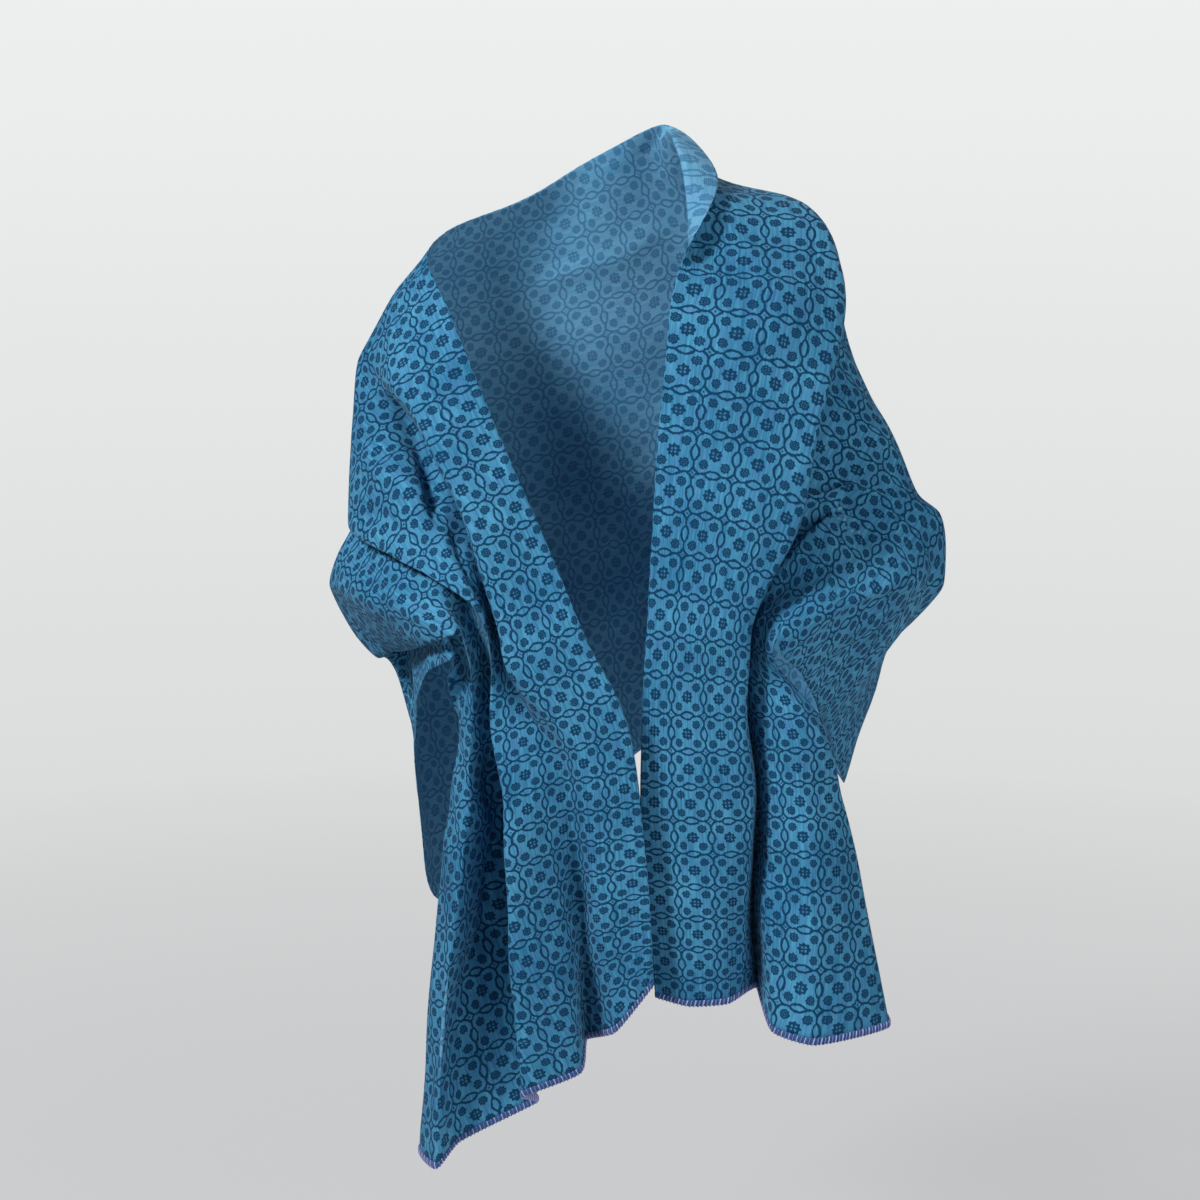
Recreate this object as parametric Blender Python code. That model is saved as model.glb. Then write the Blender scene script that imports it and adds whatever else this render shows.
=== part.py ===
"""A woven shawl in the shape it takes on a wearer. It lies round the left side of the neck,
has slid off the right shoulder, crosses both forearms, and its two ends hang in front.
Metres, +Z up, +X to the wearer's left, the wearer faces -Y. The origin is at the nape."""

import bpy
import numpy as np

# The cloth's own sizes, in metres.
CLOTH_LENGTH = 2.13
CLOTH_WIDTH = 0.80
WALL = 0.0018
SEAM_GAP = 0.0008

# The overcast edging along each short end.
EDGING_WIDTH = 0.009
EDGING_THICKNESS = 0.003
EDGING_SIDES = 8

# Each stretch of the cloth: where it starts along the length, and its steps along.
STRETCHES = (
    ("right_end", 0.0, 18),
    ("right_arm", 0.44, 20),
    ("back", 0.92, 14),
    ("left_arm", 1.26, 20),
    ("left_end", 1.72, 16),
)
STEPS_BETWEEN_COLUMNS = 4
FOLD_ROUNDNESS = 0.6

# A short way along the cloth, over which its slope is measured.
SLOPE_STEP = 0.002

# The back of the neck, in the centimetres of the tables, becomes the origin.
NAPE = (0.0, 10.1, 1.3)

# The tables give the middle of the cloth in centimetres, for a wearer whose shoulders are
# at height 0. A row is one section across the width, and its key is the distance along the
# cloth in metres. A section runs from the front (inner) edge to the outer edge.

# Right end, columns: edge, lapel, pocket, ridge_in, ridge_out, trough, rib_in, rib,
# rib_out, outer.
RIGHT_END = {
    0.00: (
        (5.5, -17, -85.5), (1.4, -16.5, -90.9), (-1.8, -11.5, -93.6), (-2.4, -18, -95),
        (-8.4, -20, -96.8), (-7.2, -13, -100.2), (-15.7, -14.5, -104.2),
        (-17.8, -17.6, -105.8), (-20, -12, -106), (-10, -2.5, -102.5),
    ),
    0.16: (
        (4.5, -17.6, -70.7), (-0.6, -17.2, -75.2), (-2.6, -14.5, -77.5), (-4.2, -17.2, -79),
        (-9.8, -20, -81.3), (-8.6, -11, -83.5), (-15.4, -13.2, -88), (-17, -17, -89.5),
        (-18.8, -12, -90), (-10.5, -2.5, -88),
    ),
    0.30: (
        (2.3, -17.6, -56), (-3, -17.4, -60), (-4.6, -15.2, -62), (-6.2, -16.6, -64),
        (-10.3, -18.5, -66), (-8.9, -9, -67.5), (-12.9, -12.8, -72), (-15, -16.5, -73.2),
        (-17.4, -11.5, -74.2), (-11, -3.5, -73),
    ),
    0.40: (
        (-1.8, -17, -47.8), (-10, -17, -51), (-8.9, -13.6, -54), (-9.8, -14.6, -56),
        (-11.7, -15.6, -57.5), (-10.9, -10.8, -58.8), (-12.4, -12.2, -60.8),
        (-14.2, -14.2, -62.2), (-15.9, -10.6, -63), (-14, -6.5, -62.5),
    ),
}

# Right arm, columns: edge, lapel, pocket, fore, lip, under, wrap, cuff, tuck, outer.
RIGHT_ARM = {
    0.46: (
        (-4, -15.9, -42.6), (-11, -16.6, -46.4), (-10.3, -13.2, -48.3), (-11, -13.6, -48.8),
        (-11.8, -15.2, -50.2), (-12.4, -12.4, -50.2), (-13.3, -12.9, -51.2),
        (-13.9, -14.2, -52.4), (-15, -12.2, -52.8), (-16.4, -12.6, -53.8),
    ),
    0.50: (
        (-5.5, -14.8, -39.1), (-12.3, -16, -41.8), (-11.8, -12.4, -43.8),
        (-12.6, -13.2, -43.6), (-12.4, -17.2, -46), (-14.2, -13.2, -45),
        (-14.8, -14.8, -46.6), (-14.6, -15.8, -48.2), (-16, -13.4, -49), (-15.8, -14, -51),
    ),
    0.60: (
        (-9.4, -13, -30.4), (-15.5, -14.5, -33), (-14.8, -8.5, -36), (-16.8, -12, -37.6),
        (-18.1, -14.6, -41.9), (-18.4, -10.8, -40.2), (-19.5, -15, -45),
        (-15.6, -19.2, -47.2), (-16.6, -16, -48.2), (-16, -16.4, -50.4),
    ),
    0.70: (
        (-13.2, -10, -21.7), (-20, -11, -25), (-19.8, -4.5, -28), (-22.2, -8, -31.7),
        (-23.8, -9.5, -39.8), (-23.6, -5.5, -38.6), (-25.4, -8.5, -45), (-19, -14, -49.3),
        (-18.4, -11.6, -49), (-19.6, -8.9, -54.4),
    ),
    0.78: (
        (-16.4, -7.5, -14.2), (-22.5, -7, -21), (-24.6, -1.8, -23.4), (-26.9, -2.2, -30.2),
        (-27.7, -2.5, -38.3), (-27.4, 1.4, -38.4), (-30, 1, -45.2), (-22.5, -2.5, -52.3),
        (-21.2, 0, -51), (-20.8, -0.8, -62),
    ),
    0.85: (
        (-18.9, -2, -9.2), (-22.8, 0, -13.5), (-26.9, 1.5, -20.4), (-27.6, 3, -27.3),
        (-28, 4.2, -37.4), (-28.2, 6.6, -40), (-30.6, 6, -46.6), (-25.5, 5, -54.4),
        (-22.4, 8.2, -53.5), (-20.9, 4, -70.8),
    ),
}

# Back, columns: edge, collar, yoke, blade, then five down the back, outer.
BACK = {
    0.92: (
        (-17.5, 4.5, -6.5), (-21.5, 6, -13), (-25, 7, -21), (-26.5, 8, -29), (-27, 9, -37),
        (-27.5, 10, -43), (-27.2, 11, -48), (-23.8, 12, -54.5), (-21.3, 10.5, -66),
        (-19.3, 7, -83),
    ),
    1.00: (
        (-10, 9.5, -3.5), (-11, 11, -7.5), (-12.5, 12, -14), (-14.5, 12.5, -22),
        (-16, 13, -31), (-16.5, 13.3, -40), (-16.3, 13.5, -50), (-15.5, 13.5, -60),
        (-14, 13.2, -70), (-12, 12.5, -80),
    ),
    1.13: (
        (0, 10, 2.2), (0.2, 11, -2), (0.4, 12.2, -8), (0.4, 13.2, -15.5), (0.3, 14, -24),
        (0.1, 14.6, -33), (0, 15, -43), (0, 15.5, -53), (-0.2, 16, -62.5), (-0.5, 16.5, -72),
    ),
    1.19: (
        (5.9, 6.4, 5.1), (5.9, 7.7, 3.4), (6.3, 9.3, -0.6), (8.2, 11, -6), (9, 12.8, -13.5),
        (9, 14.3, -23), (8.3, 15.4, -33.5), (7.3, 16.2, -44), (6.2, 16.8, -55.5),
        (5.3, 17, -67.3),
    ),
    1.213: (
        (7.2, 5.6, 5.2), (6.5, 5.9, 3.8), (7.7, 7.6, 0.1), (10.8, 9.8, -5),
        (12, 12.1, -12.8), (11.8, 14, -22.5), (11, 15.2, -33.3), (9.8, 16.2, -44),
        (8.5, 16.8, -55), (7.4, 17, -66.2),
    ),
    1.235: (
        (9, 3.6, 4.4), (7, 3.4, 4.6), (9.6, 5.6, 0.6), (14, 8.3, -4), (15.5, 11.2, -12),
        (15, 13.6, -22), (14, 15.1, -33), (12.6, 16.2, -44), (11, 16.8, -54.5),
        (9.8, 17, -65),
    ),
}

# Left arm, columns: edge, roll, panel, brink, pocket, upper, elbow, fore, wrap, outer.
LEFT_ARM = {
    1.28: (
        (12.2, -1.8, 0.1), (8.3, -2, 1.8), (12.5, 1.7, -0.8), (21, 3.5, -3), (24.3, 8, -12),
        (24, 10.5, -22), (22.5, 12.8, -32.5), (20, 14.6, -42.5), (17.5, 16, -52.5),
        (14.5, 16.6, -62),
    ),
    1.33: (
        (11, -7.6, -4.3), (9, -6, -3.9), (13.2, -4, -3.4), (24.5, -0.5, -6.6),
        (26.5, 5, -14.5), (28.3, 7.8, -23.5), (28.5, 10.5, -33.5), (26, 13, -43.5),
        (22.5, 14.8, -53.5), (19, 15.6, -62.5),
    ),
    1.36: (
        (9, -9.8, -7.6), (9.2, -7.6, -8), (15.2, -6.4, -7.2), (25.4, -2.3, -9.3),
        (25.9, 4, -15.5), (29.7, 6.8, -24.7), (31.3, 9.6, -35), (29.2, 12, -45),
        (25.3, 13.8, -54.8), (21.3, 14.6, -63.3),
    ),
    1.40: (
        (7.6, -10.2, -11.2), (12.5, -10.2, -11.2), (18.5, -9, -11.3), (26, -4.5, -13),
        (25, 2, -17), (31, 5.5, -26.5), (34, 8.5, -37), (32, 10.8, -47), (28, 12.2, -56),
        (24, 13, -65),
    ),
    1.48: (
        (6.3, -11.5, -22.6), (12, -12.5, -22.4), (18, -12, -22.2), (24, -9.5, -21.3),
        (22.5, -3, -25), (31.3, 0.5, -29.4), (36.8, 4, -38.5), (37.7, 6, -45.5),
        (32.6, 8, -54), (27.8, 7.5, -69.5),
    ),
    1.55: (
        (5.6, -12.5, -29.5), (11, -13.5, -29.5), (17, -13.5, -29.8), (22, -12, -29.8),
        (19.5, -4, -33), (28.6, -2.5, -33.4), (37, 1, -37.2), (37.7, 1, -45.7),
        (31.2, 1, -53), (25.5, 0, -64.1),
    ),
    1.63: (
        (5.2, -13.5, -37.4), (10.3, -14.5, -37.6), (15.5, -14.8, -38.3),
        (19.9, -13.5, -38.4), (18.3, -6.5, -41), (25, -4.6, -35.8), (31.6, -3.4, -38.4),
        (31, -6.4, -42.6), (25.9, -10, -46), (21.2, -12, -52.7),
    ),
    1.67: (
        (4.9, -14.2, -42.2), (9.6, -15, -42.4), (14, -15.2, -42.6), (17.6, -14.4, -42.6),
        (16.2, -8.6, -45.2), (20, -8.2, -41.4), (24.6, -8.6, -42.4), (24, -11.4, -44.6),
        (21, -14, -46.8), (18.6, -15.2, -49.8),
    ),
    1.70: (
        (4.7, -14.8, -46.2), (9, -15.5, -46.3), (12.6, -15.7, -46.3), (15.7, -15, -46.2),
        (14.8, -9.8, -48.2), (17, -10.2, -45.8), (18, -11.4, -45.2), (18.9, -12.8, -45.6),
        (18.8, -14.2, -46.8), (18.2, -15.4, -48.2),
    ),
}

# Left end, columns: edge, inner, panel, brink, pocket, pleat_in, pleat, pleat_out,
# turn, outer.
LEFT_END = {
    1.745: (
        (4.4, -15, -51), (8.4, -15.6, -51.2), (12, -15.7, -51.3), (15.3, -14.9, -51.6),
        (14.8, -10.2, -52.5), (15.7, -11.4, -51.6), (16.3, -12.2, -51.4), (17, -12.9, -51.4),
        (17.8, -13.2, -51.5), (18.6, -13, -51.8),
    ),
    1.78: (
        (4.2, -15, -55.2), (8, -15.8, -55.4), (11, -15.9, -55.6), (15.1, -15.2, -56.2),
        (15.4, -10.2, -57), (16.6, -12.8, -57), (18.8, -14.4, -56.6), (21.4, -13.8, -56.6),
        (22.8, -11.4, -57), (22.4, -8.6, -57.4),
    ),
    1.88: (
        (4, -15, -65.4), (8.5, -16.2, -65.6), (12.6, -16.3, -66), (15.9, -15.2, -65.8),
        (16.7, -10, -66.8), (17.9, -13.8, -66.3), (21.5, -15, -66), (25.9, -11.5, -67),
        (24.6, -6, -67.4), (17.8, -3.4, -67.5),
    ),
    2.00: (
        (4.6, -14.5, -75.6), (9, -16, -75.8), (12.8, -16, -76), (15.3, -14.4, -76.6),
        (16.3, -9.5, -77), (17.5, -14.5, -77.8), (22.4, -16.5, -77.6), (28.4, -12, -78.5),
        (27, -5, -78.5), (17.5, -1.5, -78),
    ),
    2.13: (
        (5.7, -13.8, -88), (9.2, -15.2, -88.5), (13.4, -14.6, -88.4), (15.8, -11.4, -88),
        (17, -8.6, -88.6), (18.3, -16.6, -91), (22.2, -18.5, -91.7), (31, -13, -91.6),
        (29.8, -6, -91.5), (20, -1.5, -91),
    ),
}


def sections():
    """The distances along the cloth, and each one's ten points in metres from the nape."""
    rows = {**RIGHT_END, **RIGHT_ARM, **BACK, **LEFT_ARM, **LEFT_END}
    along = np.array(sorted(rows))
    points = np.array([rows[key] for key in along])
    return along, (points - np.array(NAPE)) * 0.01


def curve_through(knots, values, at, roundness=1.0):
    """A smooth curve through values at the knots, which may be unevenly spaced. It runs
    straighter between them where roundness is lower."""
    steps = np.diff(knots)
    slopes = np.diff(values, axis=0) / steps[:, None, None]
    tangents = np.concatenate([slopes[:1], slopes, slopes[-1:]])
    weight = np.concatenate([[1.0], steps[1:] / (steps[1:] + steps[:-1]), [1.0]])
    tangents = (
        tangents[:-1] * weight[:, None, None]
        + tangents[1:] * (1 - weight)[:, None, None]
    ) * roundness
    span = np.clip(np.searchsorted(knots, at, side="right") - 1, 0, len(steps) - 1)
    width = steps[span][:, None, None]
    part = ((at - knots[span]) / steps[span])[:, None, None]
    rest = 1 - part
    return (
        (1 + 2 * part) * rest**2 * values[span]
        + part * rest**2 * width * tangents[span]
        + part**2 * (3 - 2 * part) * values[span + 1]
        - part**2 * rest * width * tangents[span + 1]
    )


def across(points, steps):
    """One section's points, filled in between the columns with a smooth curve."""
    gaps = np.sqrt(np.linalg.norm(np.diff(points, axis=0), axis=1))
    knots = np.concatenate([[0.0], np.cumsum(gaps)])
    at = np.concatenate(
        [knots[:-1, None] + gaps[:, None] * np.arange(steps) / steps, [[knots[-1]] * steps]]
    ).ravel()[: (len(points) - 1) * steps + 1]
    return curve_through(knots, points[:, None, :], at, FOLD_ROUNDNESS)[:, 0, :]


def cloth(at):
    """The middle of the cloth as a grid: a row for each distance in at."""
    along, points = sections()
    columns = curve_through(along, points, np.asarray(at, float))
    return np.array([across(row, STEPS_BETWEEN_COLUMNS) for row in columns])


def unit(vectors):
    return vectors / np.linalg.norm(vectors, axis=-1, keepdims=True)


def normals(at):
    """The cloth's unit normals for the same grid, from its slopes along and across."""
    at = np.asarray(at, float)
    one_way = cloth(at + SLOPE_STEP) - cloth(at - SLOPE_STEP)
    steps = np.diff(cloth(at), axis=1)
    before = np.concatenate([steps[:, :1], steps], axis=1)
    after = np.concatenate([steps, steps[:, -1:]], axis=1)
    found = unit(np.cross(one_way, before)) + unit(np.cross(one_way, after))
    return unit(found)


def make_object(name, points, faces, material):
    mesh = bpy.data.meshes.new(name)
    mesh.from_pydata(points.tolist(), [], faces)
    mesh.polygons.foreach_set("use_smooth", [True] * len(mesh.polygons))
    mesh.materials.append(material)
    mesh.update()
    item = bpy.data.objects.new(name, mesh)
    COLLECTION.objects.link(item)
    return item


def sheet_solid(name, grid, facing, material):
    """A closed sheet of even wall round a grid of middle points."""
    rows, columns = grid.shape[:2]
    outside = (grid + facing * WALL / 2).reshape(-1, 3)
    inside = (grid - facing * WALL / 2).reshape(-1, 3)
    lower = rows * columns
    faces = []
    for row in range(rows - 1):
        for column in range(columns - 1):
            a = row * columns + column
            b, c, d = a + columns, a + columns + 1, a + 1
            for p, q, r in ((a, b, c), (a, c, d)):
                faces.append((p, q, r))
                faces.append((lower + r, lower + q, lower + p))
    rim = list(range(columns))
    rim += [row * columns + columns - 1 for row in range(1, rows)]
    rim += [(rows - 1) * columns + column for column in range(columns - 2, -1, -1)]
    rim += [row * columns for row in range(rows - 2, 0, -1)]
    for first, second in zip(rim, rim[1:] + rim[:1]):
        faces.append((first, second, lower + second, lower + first))
    return make_object(name, np.concatenate([outside, inside]), faces, material)


def bar_solid(name, path, inward, facing, material):
    """A rounded bar along a path, as wide as the edging and lying in the cloth's surface."""
    turns = 2 * np.pi * (np.arange(EDGING_SIDES) + 0.5) / EDGING_SIDES
    rings = (
        path[:, None]
        + inward[:, None] * np.cos(turns)[None, :, None] * EDGING_WIDTH / 2
        + facing[:, None] * np.sin(turns)[None, :, None] * EDGING_THICKNESS / 2
    )
    faces = [tuple(range(EDGING_SIDES))]
    for ring in range(len(path) - 1):
        for side in range(EDGING_SIDES):
            a = ring * EDGING_SIDES + side
            b = ring * EDGING_SIDES + (side + 1) % EDGING_SIDES
            faces.append((a, a + EDGING_SIDES, b + EDGING_SIDES, b))
    last = (len(path) - 1) * EDGING_SIDES
    faces.append(tuple(last + side for side in range(EDGING_SIDES - 1, -1, -1)))
    return make_object(name, rings.reshape(-1, 3), faces, material)


def paint(name, colour, roughness):
    material = bpy.data.materials.new(name)
    material.use_nodes = True
    shader = material.node_tree.nodes["Principled BSDF"]
    shader.inputs["Base Color"].default_value = (*colour, 1.0)
    shader.inputs["Roughness"].default_value = roughness
    shader.inputs["Metallic"].default_value = 0.0
    return material


for leftover in list(bpy.data.objects):
    bpy.data.objects.remove(leftover)
COLLECTION = bpy.data.collections.new("shawl")
bpy.context.scene.collection.children.link(COLLECTION)

# The five stretches of the one cloth, from the right end to the left end.
ends = [start for name, start, steps in STRETCHES[1:]] + [CLOTH_LENGTH]
for (name, start, steps), end in zip(STRETCHES, ends):
    first = start + SEAM_GAP / 2
    last = end - SEAM_GAP / 2
    if start == 0:
        first = EDGING_WIDTH + SEAM_GAP
    if end == CLOTH_LENGTH:
        last = CLOTH_LENGTH - EDGING_WIDTH - SEAM_GAP
    at = np.linspace(first, last, steps + 1)
    sheet_solid(name, cloth(at), normals(at), paint(name, (0.115, 0.27, 0.45), 0.75))

# The overcast edging that finishes each short end.
for name, middle, way in (
    ("right_end_edging", EDGING_WIDTH / 2, 1),
    ("left_end_edging", CLOTH_LENGTH - EDGING_WIDTH / 2, -1),
):
    strip = cloth([middle, middle + way * SLOPE_STEP])[:, ::way]
    inward = unit(strip[1] - strip[0])
    facing = normals([middle])[0][::way]
    bar_solid(name, strip[0], inward, facing, paint(name, (0.45, 0.43, 0.58), 0.8))
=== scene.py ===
"""A handwoven blue shawl in the shape it takes when worn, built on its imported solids."""

import math

import bpy
import numpy as np
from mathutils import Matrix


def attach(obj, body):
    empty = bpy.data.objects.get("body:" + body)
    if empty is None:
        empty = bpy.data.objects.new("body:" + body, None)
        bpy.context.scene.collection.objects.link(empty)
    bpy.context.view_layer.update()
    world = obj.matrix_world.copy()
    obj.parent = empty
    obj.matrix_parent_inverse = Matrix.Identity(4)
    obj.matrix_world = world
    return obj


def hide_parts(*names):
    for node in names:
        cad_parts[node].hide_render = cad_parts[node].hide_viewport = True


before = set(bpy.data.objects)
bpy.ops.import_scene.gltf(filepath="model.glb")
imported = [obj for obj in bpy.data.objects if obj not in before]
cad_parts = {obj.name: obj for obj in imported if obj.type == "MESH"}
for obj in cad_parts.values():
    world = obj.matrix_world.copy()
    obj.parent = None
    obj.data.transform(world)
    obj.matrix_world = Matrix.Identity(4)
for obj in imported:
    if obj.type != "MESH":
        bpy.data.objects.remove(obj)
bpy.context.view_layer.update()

# The stand point of the view: level with the neck and 2.8 m in front of it, looking a
# little down at the hanging cloth. The picture is square.
EYE_BEFORE_NAPE = 2.801
EYE_BELOW_NAPE = 0.013
LOOKS_DOWN = math.radians(8.45)
SENSOR = 36.0
LENS = 74.12
SHIFT_ASIDE = -0.0022
SHIFT_UP = -0.05
SEES_AS_FAR_AS = 30.0


def placed(name, data):
    """A new object in the scene."""
    item = bpy.data.objects.new(name, data)
    bpy.context.scene.collection.objects.link(item)
    return item


camera = placed("camera", bpy.data.cameras.new("camera"))
bpy.context.scene.camera = camera
camera.location = (0.0, -EYE_BEFORE_NAPE, -EYE_BELOW_NAPE)
camera.rotation_euler = (math.radians(90) - LOOKS_DOWN, 0, 0)
camera.data.sensor_width = SENSOR
camera.data.lens = LENS
camera.data.shift_x = SHIFT_ASIDE
camera.data.shift_y = SHIFT_UP
camera.data.clip_end = SEES_AS_FAR_AS


# The cloth: one length of figured cotton, woven 0.80 m wide and cut 2.13 m long. It lies
# round the left of the neck and over both forearms. Each row is one section across it, in
# centimetres from a shoulder line at height 0; its key is the distance along, in metres.
CLOTH_LENGTH = 2.13
CLOTH_THICKNESS = 0.0008
HEM_DEPTH = 0.009
INTO_HEM = HEM_DEPTH * 0.6
NAPE = (0.0, 10.1, 1.3)
STEPS_BETWEEN_COLUMNS = 12
STEPS_ALONG = 300
FOLD_ROUNDNESS = 0.6

# Right end, columns: edge, lapel, pocket, ridge_in, ridge_out, trough, rib_in, rib,
# rib_out, outer.
RIGHT_END = {
    0.00: (
        (5.5, -17, -85.5), (1.4, -16.5, -90.9), (-1.8, -11.5, -93.6), (-2.4, -18, -95),
        (-8.4, -20, -96.8), (-7.2, -13, -100.2), (-15.7, -14.5, -104.2),
        (-17.8, -17.6, -105.8), (-20, -12, -106), (-10, -2.5, -102.5),
    ),
    0.16: (
        (4.5, -17.6, -70.7), (-0.6, -17.2, -75.2), (-2.6, -14.5, -77.5), (-4.2, -17.2, -79),
        (-9.8, -20, -81.3), (-8.6, -11, -83.5), (-15.4, -13.2, -88), (-17, -17, -89.5),
        (-18.8, -12, -90), (-10.5, -2.5, -88),
    ),
    0.30: (
        (2.3, -17.6, -56), (-3, -17.4, -60), (-4.6, -15.2, -62), (-6.2, -16.6, -64),
        (-10.3, -18.5, -66), (-8.9, -9, -67.5), (-12.9, -12.8, -72), (-15, -16.5, -73.2),
        (-17.4, -11.5, -74.2), (-11, -3.5, -73),
    ),
    0.40: (
        (-1.8, -17, -47.8), (-10, -17, -51), (-8.9, -13.6, -54), (-9.8, -14.6, -56),
        (-11.7, -15.6, -57.5), (-10.9, -10.8, -58.8), (-12.4, -12.2, -60.8),
        (-14.2, -14.2, -62.2), (-15.9, -10.6, -63), (-14, -6.5, -62.5),
    ),
}

# Right arm, columns: edge, lapel, pocket, fore, lip, under, wrap, cuff, tuck, outer.
RIGHT_ARM = {
    0.46: (
        (-4, -15.9, -42.6), (-11, -16.6, -46.4), (-10.3, -13.2, -48.3), (-11, -13.6, -48.8),
        (-11.8, -15.2, -50.2), (-12.4, -12.4, -50.2), (-13.3, -12.9, -51.2),
        (-13.9, -14.2, -52.4), (-15, -12.2, -52.8), (-16.4, -12.6, -53.8),
    ),
    0.50: (
        (-5.5, -14.8, -39.1), (-12.3, -16, -41.8), (-11.8, -12.4, -43.8),
        (-12.6, -13.2, -43.6), (-12.4, -17.2, -46), (-14.2, -13.2, -45),
        (-14.8, -14.8, -46.6), (-14.6, -15.8, -48.2), (-16, -13.4, -49), (-15.8, -14, -51),
    ),
    0.60: (
        (-9.4, -13, -30.4), (-15.5, -14.5, -33), (-14.8, -8.5, -36), (-16.8, -12, -37.6),
        (-18.1, -14.6, -41.9), (-18.4, -10.8, -40.2), (-19.5, -15, -45),
        (-15.6, -19.2, -47.2), (-16.6, -16, -48.2), (-16, -16.4, -50.4),
    ),
    0.70: (
        (-13.2, -10, -21.7), (-20, -11, -25), (-19.8, -4.5, -28), (-22.2, -8, -31.7),
        (-23.8, -9.5, -39.8), (-23.6, -5.5, -38.6), (-25.4, -8.5, -45), (-19, -14, -49.3),
        (-18.4, -11.6, -49), (-19.6, -8.9, -54.4),
    ),
    0.78: (
        (-16.4, -7.5, -14.2), (-22.5, -7, -21), (-24.6, -1.8, -23.4), (-26.9, -2.2, -30.2),
        (-27.7, -2.5, -38.3), (-27.4, 1.4, -38.4), (-30, 1, -45.2), (-22.5, -2.5, -52.3),
        (-21.2, 0, -51), (-20.8, -0.8, -62),
    ),
    0.85: (
        (-18.9, -2, -9.2), (-22.8, 0, -13.5), (-26.9, 1.5, -20.4), (-27.6, 3, -27.3),
        (-28, 4.2, -37.4), (-28.2, 6.6, -40), (-30.6, 6, -46.6), (-25.5, 5, -54.4),
        (-22.4, 8.2, -53.5), (-20.9, 4, -70.8),
    ),
}

# Back, columns: edge, collar, yoke, blade, then five down the back, outer.
BACK = {
    0.92: (
        (-17.5, 4.5, -6.5), (-21.5, 6, -13), (-25, 7, -21), (-26.5, 8, -29), (-27, 9, -37),
        (-27.5, 10, -43), (-27.2, 11, -48), (-23.8, 12, -54.5), (-21.3, 10.5, -66),
        (-19.3, 7, -83),
    ),
    1.00: (
        (-10, 9.5, -3.5), (-11, 11, -7.5), (-12.5, 12, -14), (-14.5, 12.5, -22),
        (-16, 13, -31), (-16.5, 13.3, -40), (-16.3, 13.5, -50), (-15.5, 13.5, -60),
        (-14, 13.2, -70), (-12, 12.5, -80),
    ),
    1.13: (
        (0, 10, 2.2), (0.2, 11, -2), (0.4, 12.2, -8), (0.4, 13.2, -15.5), (0.3, 14, -24),
        (0.1, 14.6, -33), (0, 15, -43), (0, 15.5, -53), (-0.2, 16, -62.5), (-0.5, 16.5, -72),
    ),
    1.19: (
        (5.9, 6.4, 5.1), (5.9, 7.7, 3.4), (6.3, 9.3, -0.6), (8.2, 11, -6), (9, 12.8, -13.5),
        (9, 14.3, -23), (8.3, 15.4, -33.5), (7.3, 16.2, -44), (6.2, 16.8, -55.5),
        (5.3, 17, -67.3),
    ),
    1.213: (
        (7.2, 5.6, 5.2), (6.5, 5.9, 3.8), (7.7, 7.6, 0.1), (10.8, 9.8, -5),
        (12, 12.1, -12.8), (11.8, 14, -22.5), (11, 15.2, -33.3), (9.8, 16.2, -44),
        (8.5, 16.8, -55), (7.4, 17, -66.2),
    ),
    1.235: (
        (9, 3.6, 4.4), (7, 3.4, 4.6), (9.6, 5.6, 0.6), (14, 8.3, -4), (15.5, 11.2, -12),
        (15, 13.6, -22), (14, 15.1, -33), (12.6, 16.2, -44), (11, 16.8, -54.5),
        (9.8, 17, -65),
    ),
}

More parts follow.
